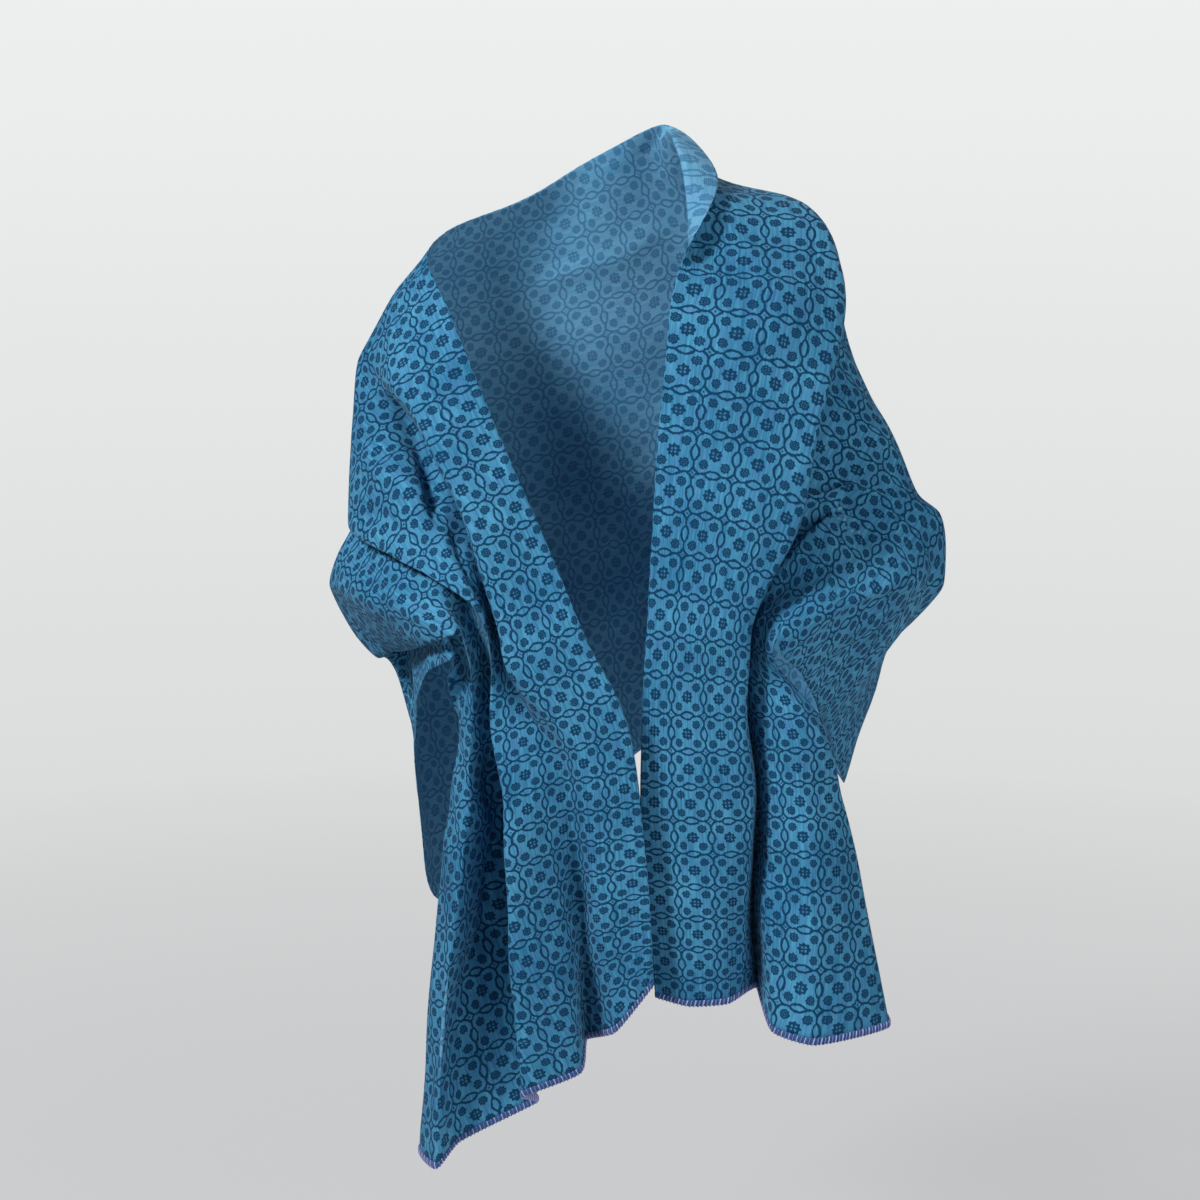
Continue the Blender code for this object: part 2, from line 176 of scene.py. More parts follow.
# Left arm, columns: edge, roll, panel, brink, pocket, upper, elbow, fore, wrap, outer.
LEFT_ARM = {
    1.28: (
        (12.2, -1.8, 0.1), (8.3, -2, 1.8), (12.5, 1.7, -0.8), (21, 3.5, -3), (24.3, 8, -12),
        (24, 10.5, -22), (22.5, 12.8, -32.5), (20, 14.6, -42.5), (17.5, 16, -52.5),
        (14.5, 16.6, -62),
    ),
    1.33: (
        (11, -7.6, -4.3), (9, -6, -3.9), (13.2, -4, -3.4), (24.5, -0.5, -6.6),
        (26.5, 5, -14.5), (28.3, 7.8, -23.5), (28.5, 10.5, -33.5), (26, 13, -43.5),
        (22.5, 14.8, -53.5), (19, 15.6, -62.5),
    ),
    1.36: (
        (9, -9.8, -7.6), (9.2, -7.6, -8), (15.2, -6.4, -7.2), (25.4, -2.3, -9.3),
        (25.9, 4, -15.5), (29.7, 6.8, -24.7), (31.3, 9.6, -35), (29.2, 12, -45),
        (25.3, 13.8, -54.8), (21.3, 14.6, -63.3),
    ),
    1.40: (
        (7.6, -10.2, -11.2), (12.5, -10.2, -11.2), (18.5, -9, -11.3), (26, -4.5, -13),
        (25, 2, -17), (31, 5.5, -26.5), (34, 8.5, -37), (32, 10.8, -47), (28, 12.2, -56),
        (24, 13, -65),
    ),
    1.48: (
        (6.3, -11.5, -22.6), (12, -12.5, -22.4), (18, -12, -22.2), (24, -9.5, -21.3),
        (22.5, -3, -25), (31.3, 0.5, -29.4), (36.8, 4, -38.5), (37.7, 6, -45.5),
        (32.6, 8, -54), (27.8, 7.5, -69.5),
    ),
    1.55: (
        (5.6, -12.5, -29.5), (11, -13.5, -29.5), (17, -13.5, -29.8), (22, -12, -29.8),
        (19.5, -4, -33), (28.6, -2.5, -33.4), (37, 1, -37.2), (37.7, 1, -45.7),
        (31.2, 1, -53), (25.5, 0, -64.1),
    ),
    1.63: (
        (5.2, -13.5, -37.4), (10.3, -14.5, -37.6), (15.5, -14.8, -38.3),
        (19.9, -13.5, -38.4), (18.3, -6.5, -41), (25, -4.6, -35.8), (31.6, -3.4, -38.4),
        (31, -6.4, -42.6), (25.9, -10, -46), (21.2, -12, -52.7),
    ),
    1.67: (
        (4.9, -14.2, -42.2), (9.6, -15, -42.4), (14, -15.2, -42.6), (17.6, -14.4, -42.6),
        (16.2, -8.6, -45.2), (20, -8.2, -41.4), (24.6, -8.6, -42.4), (24, -11.4, -44.6),
        (21, -14, -46.8), (18.6, -15.2, -49.8),
    ),
    1.70: (
        (4.7, -14.8, -46.2), (9, -15.5, -46.3), (12.6, -15.7, -46.3), (15.7, -15, -46.2),
        (14.8, -9.8, -48.2), (17, -10.2, -45.8), (18, -11.4, -45.2), (18.9, -12.8, -45.6),
        (18.8, -14.2, -46.8), (18.2, -15.4, -48.2),
    ),
}

# Left end, columns: edge, inner, panel, brink, pocket, pleat_in, pleat, pleat_out,
# turn, outer.
LEFT_END = {
    1.745: (
        (4.4, -15, -51), (8.4, -15.6, -51.2), (12, -15.7, -51.3), (15.3, -14.9, -51.6),
        (14.8, -10.2, -52.5), (15.7, -11.4, -51.6), (16.3, -12.2, -51.4), (17, -12.9, -51.4),
        (17.8, -13.2, -51.5), (18.6, -13, -51.8),
    ),
    1.78: (
        (4.2, -15, -55.2), (8, -15.8, -55.4), (11, -15.9, -55.6), (15.1, -15.2, -56.2),
        (15.4, -10.2, -57), (16.6, -12.8, -57), (18.8, -14.4, -56.6), (21.4, -13.8, -56.6),
        (22.8, -11.4, -57), (22.4, -8.6, -57.4),
    ),
    1.88: (
        (4, -15, -65.4), (8.5, -16.2, -65.6), (12.6, -16.3, -66), (15.9, -15.2, -65.8),
        (16.7, -10, -66.8), (17.9, -13.8, -66.3), (21.5, -15, -66), (25.9, -11.5, -67),
        (24.6, -6, -67.4), (17.8, -3.4, -67.5),
    ),
    2.00: (
        (4.6, -14.5, -75.6), (9, -16, -75.8), (12.8, -16, -76), (15.3, -14.4, -76.6),
        (16.3, -9.5, -77), (17.5, -14.5, -77.8), (22.4, -16.5, -77.6), (28.4, -12, -78.5),
        (27, -5, -78.5), (17.5, -1.5, -78),
    ),
    2.13: (
        (5.7, -13.8, -88), (9.2, -15.2, -88.5), (13.4, -14.6, -88.4), (15.8, -11.4, -88),
        (17, -8.6, -88.6), (18.3, -16.6, -91), (22.2, -18.5, -91.7), (31, -13, -91.6),
        (29.8, -6, -91.5), (20, -1.5, -91),
    ),
}


def curve_through(knots, values, at, roundness=1.0):
    """A smooth curve through values at the knots, which may be unevenly spaced. It runs
    straighter between them where roundness is lower."""
    steps = np.diff(knots)
    slopes = np.diff(values, axis=0) / steps[:, None, None]
    tangents = np.concatenate([slopes[:1], slopes, slopes[-1:]])
    weight = np.concatenate([[1.0], steps[1:] / (steps[1:] + steps[:-1]), [1.0]])
    tangents = (
        tangents[:-1] * weight[:, None, None]
        + tangents[1:] * (1 - weight)[:, None, None]
    ) * roundness
    span = np.clip(np.searchsorted(knots, at, side="right") - 1, 0, len(steps) - 1)
    width = steps[span][:, None, None]
    part = ((at - knots[span]) / steps[span])[:, None, None]
    rest = 1 - part
    return (
        (1 + 2 * part) * rest**2 * values[span]
        + part * rest**2 * width * tangents[span]
        + part**2 * (3 - 2 * part) * values[span + 1]
        - part**2 * rest * width * tangents[span + 1]
    )


def across(points, steps):
    """One section's points, filled in between the columns with a smooth curve."""
    gaps = np.sqrt(np.linalg.norm(np.diff(points, axis=0), axis=1))
    knots = np.concatenate([[0.0], np.cumsum(gaps)])
    at = np.concatenate(
        [knots[:-1, None] + gaps[:, None] * np.arange(steps) / steps, [[knots[-1]] * steps]]
    ).ravel()[: (len(points) - 1) * steps + 1]
    return curve_through(knots, points[:, None, :], at, FOLD_ROUNDNESS)[:, 0, :]


def draped(at):
    """The middle of the cloth as a grid of points: a row for each distance in at."""
    rows = {**RIGHT_END, **RIGHT_ARM, **BACK, **LEFT_ARM, **LEFT_END}
    along = np.array(sorted(rows))
    points = (np.array([rows[key] for key in along]) - np.array(NAPE)) * 0.01
    columns = curve_through(along, points, np.asarray(at, float))
    return np.array([across(row, STEPS_BETWEEN_COLUMNS) for row in columns])


def unit(vectors):
    """The same directions, each one metre long."""
    return vectors / np.linalg.norm(vectors, axis=-1, keepdims=True)


def outward(grid):
    """Unit normals of a grid, on the cloth's right side."""
    one_way = np.gradient(grid, axis=0)
    steps = np.diff(grid, axis=1)
    before = np.concatenate([steps[:, :1], steps], axis=1)
    after = np.concatenate([steps, steps[:, -1:]], axis=1)
    return unit(unit(np.cross(one_way, before)) + unit(np.cross(one_way, after)))


# The woven pattern runs straight on the flat cloth, so each point of the draped net needs
# its flat place. The net is thinned, its triangles are laid down one by one, and springs
# along their sides then join them again with as little bending and stretch as they allow.
THIN_ALONG = 4
THIN_ACROSS = 3
SOFTEST_SIDE = 0.02
STIFFEST_SIDE = 4.0
LAYING_TURNS = 12
NET_TURNS = 120


def laid_triangles(corners, flat):
    """For each triangle: its sides laid in its own plane, and how stiff each side is."""
    sides = flat[np.roll(corners, -1, axis=1)] - flat[corners]
    turned = np.cross(sides[:, 0], sides[:, 1])
    first = unit(sides[:, 0])
    second = np.cross(unit(turned), first)
    laid = np.stack([(sides * first[:, None]).sum(-1), (sides * second[:, None]).sum(-1)], -1)
    facing_sides = (np.roll(sides, -1, axis=1) * np.roll(sides, -2, axis=1)).sum(-1)
    stiff = -facing_sides / np.linalg.norm(turned, axis=1)[:, None]
    return laid, np.clip(stiff, SOFTEST_SIDE, STIFFEST_SIDE)


def come_to_rest(value, pull, start, stop, stiff, hold):
    """Lets a net of springs come to rest under a pull, by conjugate gradients."""

    def strain(x):
        force = (x[stop] - x[start]) * stiff
        return np.bincount(stop, force, len(x)) - np.bincount(start, force, len(x))

    left = hold(pull - strain(value))
    step = left
    size = left @ left
    for _ in range(NET_TURNS):
        moved = hold(strain(step))
        share = size / (step @ moved)
        value = value + share * step
        left = left - share * moved
        smaller = left @ left
        step = left + step * (smaller / size)
        size = smaller
    return value


def filled_in(values, at, known):
    """Values known at some distances, worked out at others, each column by itself."""
    return np.stack([np.interp(at, known, column) for column in values.T], axis=-1)


def true_places(points, along, from_edge):
    """The place of each point on the flat cloth, as metres along and from the front edge.
    The front edge and both short ends stay straight."""
    all_rows, all_columns = (np.arange(count) for count in points.shape[:2])
    rows = all_rows[::THIN_ALONG]
    columns = all_columns[::THIN_ACROSS]
    picked = np.ix_(rows, columns)
    flat = points[picked].reshape(-1, 3)
    shape = (len(rows), len(columns))
    number = np.arange(len(flat)).reshape(shape)
    a, b, c, d = number[:-1, :-1], number[1:, :-1], number[1:, 1:], number[:-1, 1:]
    corners = np.concatenate(
        [np.stack([a, b, c], -1).reshape(-1, 3), np.stack([a, c, d], -1).reshape(-1, 3)]
    )
    laid, stiff = laid_triangles(corners, flat)
    start = corners.ravel()
    stop = np.roll(corners, -1, axis=1).ravel()

    def hold_ends(x):
        x = x.reshape(shape).copy()
        x[0] = x[0].mean()
        x[-1] = x[-1].mean()
        return x.ravel()

    def hold_front(x):
        x = x.reshape(shape).copy()
        x[:, 0] = 0.0
        return x.ravel()

    u = np.repeat(along[rows], len(columns))
    v = from_edge[picked].ravel()
    for _ in range(LAYING_TURNS):
        place = np.stack([u, v], -1)
        sides = (place[stop] - place[start]).reshape(-1, 3, 2) * stiff[..., None]
        met = np.einsum("tka,tkb->tab", sides, laid)
        angle = np.arctan2(met[:, 1, 0] - met[:, 0, 1], met[:, 0, 0] + met[:, 1, 1])
        cosine, sine = np.cos(angle)[:, None], np.sin(angle)[:, None]
        run = ((cosine * laid[..., 0] - sine * laid[..., 1]) * stiff).ravel()
        rise = ((sine * laid[..., 0] + cosine * laid[..., 1]) * stiff).ravel()
        pull_u = np.bincount(stop, run, len(u)) - np.bincount(start, run, len(u))
        pull_v = np.bincount(stop, rise, len(v)) - np.bincount(start, rise, len(v))
        u = come_to_rest(u, pull_u, start, stop, stiff.ravel(), hold_ends)
        v = come_to_rest(v, pull_v, start, stop, stiff.ravel(), hold_front)
    place = np.stack([u - u[0] + along[0], v], -1).reshape(*shape, 2)
    wide = np.stack([filled_in(row, all_columns, columns) for row in place])
    full = [filled_in(wide[:, column], all_rows, rows) for column in all_columns]
    return np.stack(full, axis=1)


# The soft creases that the drape pulls into the cloth. A row is one crease: where it starts
# and ends on the flat cloth (metres along, metres from the front edge), its height in
# millimetres (a trough is below 0) and its half width in millimetres.
CREASES = (
    # right end: the hollow between its ribs and the one under the wrist
    (0.41, 0.26, 0.14, 0.385, -20, 17),
    (0.42, 0.20, 0.10, 0.30, 8, 12),
    (0.30, 0.13, 0.12, 0.10, -4, 22),
    (0.22, 0.42, 0.05, 0.50, -4, 14),
    # right arm: the valley behind the front strip, the lap over the elbow, the cuff
    (0.77, 0.13, 0.60, 0.185, -17, 15),
    (0.61, 0.165, 0.47, 0.150, -6, 10),
    (0.78, 0.29, 0.59, 0.215, -6, 9),
    (0.77, 0.24, 0.62, 0.180, 4, 10),
    (0.85, 0.15, 0.76, 0.135, -3, 12),
    (0.80, 0.38, 0.68, 0.40, 3, 16),
    (0.74, 0.47, 0.64, 0.43, -3, 12),
    (0.84, 0.45, 0.74, 0.62, -4, 15),
    # back: swags between the shoulders, and the fall below them
    (0.93, 0.24, 1.10, 0.42, -5, 20),
    (1.26, 0.30, 1.12, 0.46, -4, 20),
    (1.02, 0.11, 1.20, 0.13, -3, 12),
    (0.96, 0.50, 1.02, 0.76, -5, 18),
    (1.07, 0.54, 1.10, 0.77, 5, 20),
    (1.18, 0.55, 1.17, 0.76, -4, 18),
    (0.88, 0.52, 0.86, 0.74, 4, 16),
    # left arm: the shoulder's corner, the drop over the elbow, the crest above the cuff
    (1.29, 0.19, 1.43, 0.185, 3, 11),
    (1.30, 0.40, 1.30, 0.74, 4, 18),
    (1.40, 0.42, 1.45, 0.72, -5, 18),
    (1.42, 0.26, 1.60, 0.24, -20, 15),
    (1.570, 0.20, 1.598, 0.39, 11, 13),
    (1.612, 0.19, 1.634, 0.37, -20, 13),
    (1.69, 0.15, 1.650, 0.345, 4, 12),
    (1.645, 0.40, 1.550, 0.70, 11, 20),
    (1.595, 0.47, 1.500, 0.68, -9, 16),
    (1.56, 0.02, 1.53, 0.11, -2, 9),
    # left end: drag lines across the outer pleat
    (1.94, 0.19, 1.99, 0.31, -3, 10),
    (1.99, 0.21, 2.05, 0.33, 3, 9),
    (2.04, 0.20, 2.10, 0.34, -3, 10),
    (1.88, 0.38, 2.05, 0.44, -4, 14),
)


MILLIMETRE = 0.001
CREASE_FLANK = 1.8
CREASE_TAPER = 0.3
CREASE_BOW = 0.25
BOW_WAVES = 55
BOW_START = 90
RUMPLE_ALONG = 0.0009
RUMPLE_ACROSS = 0.0008
FLAT_AT_HEMS = 0.03


def creases(along, from_edge):
    """The height of the creases over the smooth cloth, in metres, for the grid's points,
    with a slight rumple all over. Both die away at the short ends."""
    s = np.repeat(along[:, None], from_edge.shape[1], axis=1)
    raised = np.zeros_like(s)
    for start_along, start_in, end_along, end_in, height, half_width in CREASES:
        run = np.array([end_along - start_along, end_in - start_in])
        length = np.linalg.norm(run)
        run = run / length
        width = half_width * MILLIMETRE
        forward = (s - start_along) * run[0] + (from_edge - start_in) * run[1]
        aside = (s - start_along) * run[1] - (from_edge - start_in) * run[0]
        bow = CREASE_BOW * width * np.sin(forward * BOW_WAVES + start_in * BOW_START)
        spread = np.abs(aside - bow) / width
        to_end = np.minimum(forward, length - forward) / (CREASE_TAPER * length)
        taper = np.clip(to_end + CREASE_TAPER, 0, 1)
        raised += height * MILLIMETRE * taper**2 * np.exp(-(spread**CREASE_FLANK))
    rumple = RUMPLE_ALONG * np.sin(s * 47 + 3 * np.sin(from_edge * 13))
    rumple += RUMPLE_ACROSS * np.sin(from_edge * 61 + 4 * np.sin(s * 9))
    from_hem = np.clip(np.minimum(s, CLOTH_LENGTH - s) / FLAT_AT_HEMS, 0, 1)
    return (raised + rumple) * from_hem


along = np.linspace(INTO_HEM, CLOTH_LENGTH - INTO_HEM, STEPS_ALONG + 1)
middle = draped(along)
walked = np.linalg.norm(np.diff(middle, axis=1), axis=2)
from_edge = np.concatenate([np.zeros((len(along), 1)), np.cumsum(walked, axis=1)], axis=1)
middle = middle + outward(middle) * creases(along, from_edge)[..., None]
facing = outward(middle)
flat_places = true_places(middle, along, from_edge)


def sheet_mesh(name, grid, facing, thickness, flat_places, materials):
    """A thin closed sheet: right side, wrong side and a rim, with the place of each point
    on the flat cloth kept as a UV map in metres."""
    rows, columns = grid.shape[:2]
    outside = (grid + facing * thickness / 2).reshape(-1, 3)
    inside = (grid - facing * thickness / 2).reshape(-1, 3)
    lower = rows * columns
    number = np.arange(lower).reshape(rows, columns)
    corners = np.stack(
        [number[:-1, :-1], number[1:, :-1], number[1:, 1:], number[:-1, 1:]], axis=-1
    ).reshape(-1, 4)
    rim = np.concatenate(
        [number[0, :-1], number[:-1, -1], number[-1, :0:-1], number[:0:-1, 0]]
    )
    after = np.roll(rim, -1)
    rim_faces = np.stack([rim, after, lower + after, lower + rim], axis=-1)
    faces = np.concatenate([corners, lower + corners[:, ::-1], rim_faces])
    mesh = bpy.data.meshes.new(name)
    mesh.from_pydata(np.concatenate([outside, inside]).tolist(), [], faces.tolist())
    places = np.concatenate([flat_places.reshape(-1, 2)] * 2)
    weave = mesh.uv_layers.new(name="weave")
    weave.uv.foreach_set("vector", places[faces.ravel()].ravel())
    for material in materials:
        mesh.materials.append(material)
    side = [0] * len(corners) + [1] * len(corners) + [0] * len(rim_faces)
    mesh.polygons.foreach_set("material_index", side)
    mesh.polygons.foreach_set("use_smooth", [True] * len(faces))
    mesh.update()
    return placed(name, mesh)


# The weave: light blue ground and dark blue pattern threads that float over it in an old
# overshot repeat, a lattice of lenses and scallops with small flowers. The wrong side has
# the same repeat, paler and blurred. It is drawn by rule from the place on the flat cloth.
PITCH_ACROSS = 0.0412
PITCH_ALONG = 0.0372
FIRST_LINE_FROM_EDGE = 0.037
RIB_SPACING = 0.0013
THREAD_WANDER = 0.08
WANDER_ACROSS = 0.7
SLUB_LENGTHENING = 0.06
WEAVE_HEIGHT = 0.0005


def dye(red, green, blue):
    """A screen colour in 0 to 255, as the shader's linear one."""
    parts = [c / 255 for c in (red, green, blue)]
    return (*[c / 12.92 if c <= 0.04045 else ((c + 0.055) / 1.055) ** 2.4 for c in parts], 1.0)


class Yarn:
    """A value in a material, which adds Math nodes when it is used in arithmetic."""

    def __init__(self, tree, socket):
        self.tree = tree
        self.socket = socket

    def node(self, kind, settings, inputs, output=0):
        """Any node: its settings come first, then the values or links of its inputs."""
        made = self.tree.nodes.new(kind)
        for name, value in settings.items():
            setattr(made, name, value)
        for place, value in inputs.items():
            if isinstance(value, Yarn):
                self.tree.links.new(value.socket, made.inputs[place])
            else:
                made.inputs[place].default_value = value
        return Yarn(self.tree, made.outputs[output])

    def math(self, operation, *others):
        inputs = dict(enumerate((self, *others)))
        return self.node("ShaderNodeMath", {"operation": operation}, inputs)

    def __add__(self, other):
        return self.math("ADD", other)

    def __radd__(self, other):
        return self + other

    def __sub__(self, other):
        return self.math("SUBTRACT", other)

    def __rsub__(self, other):
        return self * -1 + other

    def __mul__(self, other):
        return self.math("MULTIPLY", other)

    def __rmul__(self, other):
        return self * other

    def __truediv__(self, other):
        return self * (1 / other)

    def __abs__(self):
        return self.math("ABSOLUTE")

    def part(self, number):
        """One part of a vector."""
        return self.node("ShaderNodeSeparateXYZ", {}, {0: self}, output=number)

    def clamped(self):
        """This, kept between 0 and 1."""
        return self.node("ShaderNodeClamp", {}, {0: self})

    def noise(self, scale, detail):
        """Soft noise at this place."""
        inputs = {"Vector": self, "Scale": scale, "Detail": detail}
        return self.node("ShaderNodeTexNoise", {}, inputs)

    def distance(self, other):
        """The length of the vector that has these two parts."""
        return (self * self + other * other).math("SQRT")

    def fold(self):
        """How far this is from the nearest whole number."""
        return self.math("PINGPONG", 0.5)

    def under(self, edge, softness):
        """1 where this is below edge and 0 above it, with a soft step between."""
        return ((edge - self) / softness + 0.5).clamped()

    def either(self, other):
        return self.math("MAXIMUM", other)

    def colour(self, low, high):
        """A mix of two colours or colour values by this factor."""
        inputs = {0: self, 6: low, 7: high}
        return self.node("ShaderNodeMix", {"data_type": "RGBA"}, inputs, output=2)

    def feed(self, shader, name):
        self.tree.links.new(self.socket, shader.inputs[name])

    def raise_on(self, shader, strength, distance):
        """Small relief on a shader's surface, with this as its height."""
        inputs = {"Strength": strength, "Distance": distance, "Height": self}
        self.node("ShaderNodeBump", {}, inputs).feed(shader, "Normal")


def finish(name):
    """A new material, with its shader and the start of its values."""
    material = bpy.data.materials.new(name)
    material.use_nodes = True
    shader = material.node_tree.nodes["Principled BSDF"]
    return material, shader, Yarn(material.node_tree, None)


# The repeat, in shares of its pitch from the crossing of its lines. Half a pitch away both
# ways is the large flower, with a small one between it and each crossing.
LINE_HALF = 0.029
LINE_EDGE = 0.016
DOT_RADIUS = 0.023
SCALLOP_RADIUS = 0.246
SCALLOP_REACH = 0.24
LENS_CENTRE = 0.163
LENS_RADIUS = 0.258
LENS_END = 0.285
STROKE_HALF_ACROSS = 0.03
STROKE_HALF_ALONG = 0.028
STROKE_CENTRE = 0.245
STROKE_REACH = 0.065
PETALS = 8
BUD_CENTRE = 0.235
BUD_RADIUS = 0.118
BUD_PETAL_RISE = 0.010
BUD_SPECKS = (0.062, 0.016)
BUD_HEART = 0.014
BLOOM_CENTRE = 0.5
BLOOM_RADIUS = 0.155
BLOOM_PETAL_RISE = 0.018
BLOOM_SPECKS = (0.060, 0.026)


def lattice(across, along):
    """Where the pattern threads lie: 1 on a pattern thread and 0 on the ground."""

    def inside(value, edge):
        return value.under(edge, LINE_EDGE)

    a = across.fold()
    b = along.fold()
    dot = inside(a.distance(b), DOT_RADIUS)
    from_bud = (a - BUD_CENTRE).distance(b - BUD_CENTRE)
    scallop = inside(abs(from_bud - SCALLOP_RADIUS), LINE_HALF)
    scallop = scallop * inside(a, SCALLOP_REACH) * inside(b, SCALLOP_REACH)
    lenses = []
    for one, other in ((a, b), (b, a)):
        arc = (other + LENS_CENTRE).distance(one - 0.5) - LENS_RADIUS
        lenses.append(inside(abs(arc), LINE_HALF) * (1 - inside(one, LENS_END)))
    stroke_across = inside(b, STROKE_HALF_ACROSS) * inside(abs(a - STROKE_CENTRE), STROKE_REACH)
    stroke_along = inside(a, STROKE_HALF_ALONG) * inside(abs(b - STROKE_CENTRE), STROKE_REACH)

    turn = (b - BUD_CENTRE).math("ARCTAN2", a - BUD_CENTRE)
    petals = (turn * PETALS).math("COSINE")
    bud = inside(from_bud - petals * BUD_PETAL_RISE, BUD_RADIUS)
    ring, half = BUD_SPECKS
    specks = inside(abs(from_bud - ring), half) * (petals * -1).under(-0.25, 0.5)
    bud = bud * (1 - specks.either(inside(from_bud, BUD_HEART)) * 0.5)

    from_bloom = (a - BLOOM_CENTRE).distance(b - BLOOM_CENTRE)
    turn = (b - BLOOM_CENTRE).math("ARCTAN2", a - BLOOM_CENTRE)
    petals = (turn * PETALS).math("COSINE")
    bloom = inside(from_bloom - petals * BLOOM_PETAL_RISE, BLOOM_RADIUS)
    quarters = (turn * 4).math("COSINE")
    ring, half = BLOOM_SPECKS
    specks = inside(abs(from_bloom - ring), half) * quarters.under(-0.1, 0.5)
    bloom = bloom * (1 - specks * 0.75)

    threads = dot.either(scallop)
    for part in (*lenses, stroke_across, stroke_along, bud, bloom):
        threads = threads.either(part)
    return threads


def woven(name, ground, ground_light, ground_grey, pattern, strength, roughness):
    """One side of the cloth: its ground with slubs, clouds and greyer spots, under the
    pattern threads at the strength that shows on this side."""
    material, shader, start = finish(name)
    place = start.node("ShaderNodeUVMap", {"uv_map": "weave"}, {})
    along = place.part(0)
    across = place.part(1)
    wander = (place.noise(scale=260.0, detail=1.0) - 0.5) * THREAD_WANDER
    u = along / PITCH_ALONG + wander
    v = (across - FIRST_LINE_FROM_EDGE) / PITCH_ACROSS + wander * WANDER_ACROSS
    threads = lattice(v, u)

    ribs = (across * (2 * math.pi / RIB_SPACING)).math("SINE")
    picks = (along * (2 * math.pi / RIB_SPACING)).math("SINE")
    lengthening = {"Vector": place, "Scale": (SLUB_LENGTHENING, 1.0, 1.0)}
    slubs = place.node("ShaderNodeMapping", {}, lengthening).noise(scale=420.0, detail=3.0)
    clouds = place.noise(scale=9.0, detail=3.0)
    lightness = (slubs - 0.5) * 2.2 + (clouds - 0.5) * 1.6 + ribs * 0.08 + 0.5
    bright_ground = lightness.clamped().colour(ground, ground_light)
    grey_spots = ((place.noise(scale=75.0, detail=2.0) - 0.42) * 3).clamped()
    cloth_ground = (grey_spots * 0.5).colour(bright_ground, ground_grey)
    (threads * strength).colour(cloth_ground, pattern).feed(shader, "Base Color")
    shader.inputs["Roughness"].default_value = roughness
    shader.inputs["Specular IOR Level"].default_value = 0.12
    shader.inputs["Sheen Weight"].default_value = 0.04
    shader.inputs["Sheen Roughness"].default_value = 0.5
    relief = threads * 0.6 + ribs * 0.35 + picks * 0.2 + (slubs - 0.5) * 1.2
    relief.raise_on(shader, strength=0.55, distance=WEAVE_HEIGHT)
    return material


right_side = woven(
    "cloth_right_side",
    ground=dye(36, 108, 148),
    ground_light=dye(84, 162, 200),
    ground_grey=dye(74, 118, 172),
    pattern=dye(0, 52, 88),
    strength=0.94,
    roughness=0.8,
)
wrong_side = woven(
    "cloth_wrong_side",
    ground=dye(84, 150, 188),
    ground_light=dye(116, 178, 212),
    ground_grey=dye(110, 150, 192),
    pattern=dye(30, 92, 138),
    strength=0.6,
    roughness=0.82,
)
cloth = sheet_mesh(
    "shawl_cloth", middle, facing, CLOTH_THICKNESS, flat_places, [right_side, wrong_side]
)
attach(cloth, "root")
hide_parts("right_end", "right_arm", "back", "left_arm", "left_end")


# The two short ends: the raw edge is rolled once to the wrong side and overcast by hand
# with slanted cotton stitches, lilac and near white in turn, between 4 and 5 mm apart.
ROLL_HALF_WIDTH = 0.0036
ROLL_HALF_THICKNESS = 0.0014
ROLL_SIDES = 12
STITCH_SPACING = 0.0044
STITCH_RADIUS = 0.00068
STITCH_LIFT = STITCH_RADIUS * 0.6
STITCH_BREADTH = 1.25
STITCH_SLANT = 0.0058
STITCH_REACH = math.radians(152)
STITCH_STEPS = 10
THREAD_SIDES = 6
FIBRE_HEIGHT = 0.0003
SLOPE_STEP = 0.002


def thread_material(name, dark, light, roughness):
    """Spun cotton, with its fibres as fine specks."""
    material, shader, start = finish(name)
    fibres = start.node("ShaderNodeNewGeometry", {}, {}).noise(scale=900.0, detail=2.0)
    fibres.colour(dark, light).feed(shader, "Base Color")
    shader.inputs["Roughness"].default_value = roughness
    shader.inputs["Specular IOR Level"].default_value = 0.25
    shader.inputs["Sheen Weight"].default_value = 0.15
    fibres.raise_on(shader, strength=0.5, distance=FIBRE_HEIGHT)
    return material


roll_blue = thread_material("hem_roll_blue", dye(24, 58, 108), dye(60, 104, 156), 0.85)
lilac = thread_material("hem_thread_lilac", dye(84, 90, 158), dye(132, 134, 196), 0.7)
near_white = thread_material("hem_thread_white", dye(132, 140, 192), dye(186, 192, 224), 0.7)


def tubes(name, paths, ring_offsets, materials, kinds):
    """Closed tubes in one mesh. Each path is a row of ring centres, its offsets are the
    rings about them, and its kind is the number of its material."""
    points = []
    faces = []
    material_numbers = []
    for path, offsets, kind in zip(paths, ring_offsets, kinds):
        first = len(points)
        rings = path[:, None] + offsets
        count, sides = rings.shape[:2]
        points.extend(rings.reshape(-1, 3).tolist())
        number = first + np.arange(count * sides).reshape(count, sides)
        beside = np.roll(number, -1, axis=1)
        walls = np.stack([number[:-1], beside[:-1], beside[1:], number[1:]], axis=-1)
        made = walls.reshape(-1, 4).tolist()
        made.append(number[0, ::-1].tolist())
        made.append(number[-1].tolist())
        faces.extend(made)
        material_numbers.extend([kind] * len(made))
    mesh = bpy.data.meshes.new(name)
    mesh.from_pydata(points, [], faces)
    for material in materials:
        mesh.materials.append(material)
    mesh.polygons.foreach_set("material_index", material_numbers)
    mesh.polygons.foreach_set("use_smooth", [True] * len(faces))
    mesh.update()
    return placed(name, mesh)


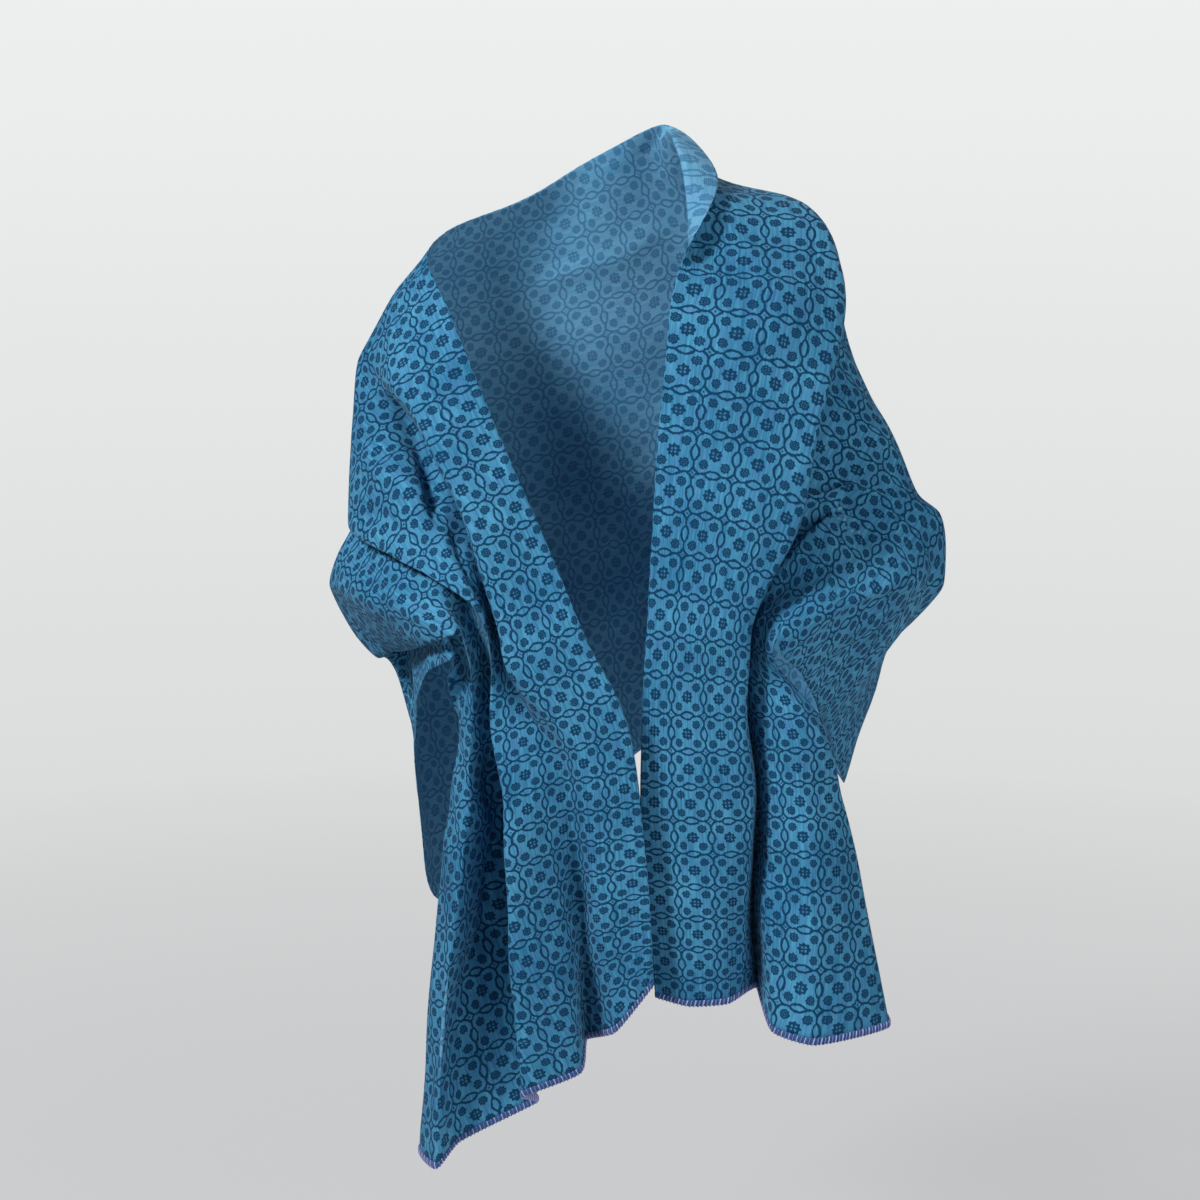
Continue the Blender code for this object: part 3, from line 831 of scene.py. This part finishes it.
def hem(name, at, way, node):
    """The rolled edge of one short end, and the stitches over it. The way is 1 at the start
    of the cloth and -1 at its end."""
    strip = draped([at - SLOPE_STEP, at, at + SLOPE_STEP])
    path = strip[1]
    out = unit((strip[0] - strip[2]) * way)
    up = outward(strip)[1]
    gaps = np.linalg.norm(np.diff(path, axis=0), axis=1)
    reach = np.concatenate([[0.0], np.cumsum(gaps)])
    turns = 2 * np.pi * np.arange(ROLL_SIDES) / ROLL_SIDES * way
    offsets = (
        out[:, None] * np.cos(turns)[None, :, None] * ROLL_HALF_WIDTH
        + up[:, None] * np.sin(turns)[None, :, None] * ROLL_HALF_THICKNESS
    )
    roll = tubes(name + "_roll", [path], [offsets], [roll_blue], [0])

    swing = np.linspace(-STITCH_REACH, STITCH_REACH, STITCH_STEPS + 1)
    beyond_roll = np.cos(swing) * (ROLL_HALF_WIDTH + STITCH_LIFT)
    above_roll = np.sin(swing) * (ROLL_HALF_THICKNESS + STITCH_LIFT)
    ring = 2 * np.pi * np.arange(THREAD_SIDES) / THREAD_SIDES
    paths = []
    rings = []
    for distance in np.arange(STITCH_SPACING, reach[-1] - STITCH_SPACING / 2, STITCH_SPACING):
        places = distance + STITCH_SLANT * swing / STITCH_REACH / 2
        ways_out = unit(filled_in(out, places, reach))
        ways_up = unit(filled_in(up, places, reach))
        line = (
            filled_in(path, places, reach)
            + ways_out * beyond_roll[:, None]
            + ways_up * above_roll[:, None]
        )
        run = unit(np.gradient(line, axis=0))
        side = unit(np.cross(run, ways_out + ways_up * 0.01))
        top = np.cross(side, run)
        section = (
            side[:, None] * np.cos(ring)[None, :, None] * STITCH_BREADTH
            + top[:, None] * np.sin(ring)[None, :, None]
        )
        paths.append(line)
        rings.append(section * STITCH_RADIUS)
    kinds = [number % 2 for number in range(len(paths))]
    stitches = tubes(name + "_stitches", paths, rings, [lilac, near_white], kinds)
    for piece in (roll, stitches):
        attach(piece, "root")
    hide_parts(node)
    return [roll, stitches]


hems = hem("right_hem", HEM_DEPTH / 2, 1, "right_end_edging")
hems += hem("left_hem", CLOTH_LENGTH - HEM_DEPTH / 2, -1, "left_end_edging")


# The setting: a plain pale floor well below the hanging cloth, which fades outward into a
# pale backdrop of light. A small strong lamp stands high on one side in front, a wide soft
# one low on the other side, and a weak wide one behind.
FLOOR_HEIGHT = -1.42
FLOOR_REACH = 3.2
FADE_MIDDLE = FLOOR_REACH * 0.55
FADE_WIDTH = FLOOR_REACH * 0.8
FLOOR_GLOW = 0.67
HORIZON_LEVEL = 0.62
LEVEL_RISE = 1.35
ROOM_GLOW = (0.13, 0.14, 0.15, 1.0)
LOOKED_AT = (0.0, 0.0, -0.45)

around = ((-1, -1), (1, -1), (1, 1), (-1, 1))
corners = [(x * FLOOR_REACH, y * FLOOR_REACH, FLOOR_HEIGHT) for x, y in around]
floor_mesh = bpy.data.meshes.new("floor")
floor_mesh.from_pydata(corners, [], [(0, 1, 2, 3)])
floor = placed("floor", floor_mesh)
paper, shader, start = finish("floor_paper")
shader.inputs["Base Color"].default_value = dye(120, 121, 122)
shader.inputs["Roughness"].default_value = 0.9
shader.inputs["Emission Color"].default_value = dye(214, 214, 215)
shader.inputs["Emission Strength"].default_value = FLOOR_GLOW
spot = start.node("ShaderNodeNewGeometry", {}, {})
spot.part(0).distance(spot.part(1)).under(FADE_MIDDLE, FADE_WIDTH).feed(shader, "Alpha")
floor_mesh.materials.append(paper)

world = bpy.data.worlds.new("pale_backdrop")
bpy.context.scene.world = world
world.use_nodes = True
start = Yarn(world.node_tree, None)
height = start.node("ShaderNodeTexCoord", {}, {}).part(2)
level = (height * LEVEL_RISE + HORIZON_LEVEL).clamped()
backdrop = level.colour(dye(204, 204, 205), dye(250, 252, 251))
seen_by_camera = start.node("ShaderNodeLightPath", {}, {})
glow = seen_by_camera.colour(ROOM_GLOW, backdrop)
glow.feed(world.node_tree.nodes["Background"], "Color")


def lamp(name, place, size, power):
    """A square soft lamp that is turned to the middle of the cloth."""
    light = bpy.data.lights.new(name, "AREA")
    light.size = size
    light.energy = power
    item = placed(name, light)
    item.location = place
    aim = np.array(LOOKED_AT) - np.array(place)
    flat = math.hypot(aim[0], aim[1])
    item.rotation_euler = (math.atan2(flat, -aim[2]), 0, math.atan2(-aim[0], aim[1]))


lamp("key_lamp", place=(-2.2, -2.0, 1.8), size=0.8, power=120.0)
lamp("fill_lamp", place=(1.9, -2.4, 0.1), size=2.2, power=38.0)
lamp("back_lamp", place=(1.0, 3.0, 1.2), size=2.4, power=22.0)
bpy.context.scene.view_settings.view_transform = "Standard"
